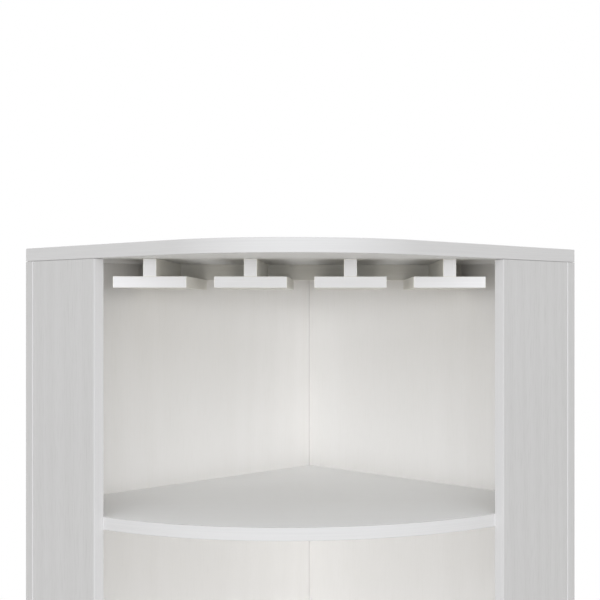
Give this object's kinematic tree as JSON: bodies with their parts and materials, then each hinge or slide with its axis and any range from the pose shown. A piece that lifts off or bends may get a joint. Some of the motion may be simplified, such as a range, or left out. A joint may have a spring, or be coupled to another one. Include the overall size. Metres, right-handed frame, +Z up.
{
  "type": "corner bar cabinet",
  "caption": "White corner bar cabinet with a bow-fronted top, stemware rails, an open display bay, a serving counter and a hinged-door cupboard.",
  "frame": {"origin": "middle of the bounding box on the floor plane, under the cabinet", "axes": "+Z up, along the height; the doors and the bowed front face -Y; the back corner where both wall panels meet points along +Y; +X to the right of a viewer who faces the doors"},
  "size_m": [0.7778, 0.6916, 1.8],
  "materials": {
    "white_laminate_board": "white laminate on particle board, embossed with a fine wood grain, satin",
    "zinc_steel": "bright zinc plated, satin",
    "satin_nickel": "satin nickel plated",
    "beech_dowel": "raw beech",
    "white_nylon": "moulded, matt",
    "catch_housing": "moulded housing round a magnet, matt"
  },
  "bodies": {
    "cabinet": {"back_rail_screws": "zinc_steel", "base_board": "white_laminate_board", "catch_screws": "zinc_steel", "corner_screws": "zinc_steel", "counter_board": "white_laminate_board", "cupboard_shelf": "white_laminate_board", "display_shelf": "white_laminate_board", "floor_glides": "white_nylon", "hinge_bushes": "white_nylon", "magnetic_catch_left": "catch_housing", "magnetic_catch_right": "catch_housing", "plinth_board": "white_laminate_board", "plinth_dowels": "beech_dowel", "shelf_pins": "zinc_steel", "shelf_screws": "zinc_steel", "stemware_back_rail": "white_laminate_board", "stemware_flange_1": "white_laminate_board", "stemware_flange_2": "white_laminate_board", "stemware_flange_3": "white_laminate_board", "stemware_flange_4": "white_laminate_board", "stemware_rail_screws": "zinc_steel", "stemware_web_1": "white_laminate_board", "stemware_web_2": "white_laminate_board", "stemware_web_3": "white_laminate_board", "stemware_web_4": "white_laminate_board", "stile_left": "white_laminate_board", "stile_right": "white_laminate_board", "stile_screws": "zinc_steel", "top_board": "white_laminate_board", "top_dowels": "beech_dowel", "wall_panel_left": "white_laminate_board", "wall_panel_right": "white_laminate_board"},
    "door_left": {"door_left": "white_laminate_board", "pivot_pins_left": "zinc_steel", "knob_left": "satin_nickel", "knob_screw_left": "zinc_steel", "strike_plate_left": "zinc_steel", "strike_screw_left": "zinc_steel"},
    "door_right": {"door_right": "white_laminate_board", "pivot_pins_right": "zinc_steel", "knob_right": "satin_nickel", "knob_screw_right": "zinc_steel", "strike_plate_right": "zinc_steel", "strike_screw_right": "zinc_steel"}
  },
  "joints": [
    {"name": "door_left_hinge", "type": "hinge", "parent": "cabinet", "child": "door_left", "pos_m": [-0.2448, -0.14539, 0.49], "axis": [0, 0, -1], "range_deg": [0, 110]},
    {"name": "door_right_hinge", "type": "hinge", "parent": "cabinet", "child": "door_right", "pos_m": [0.2448, -0.14539, 0.49], "axis": [0, 0, 1], "range_deg": [0, 110]}
  ]
}
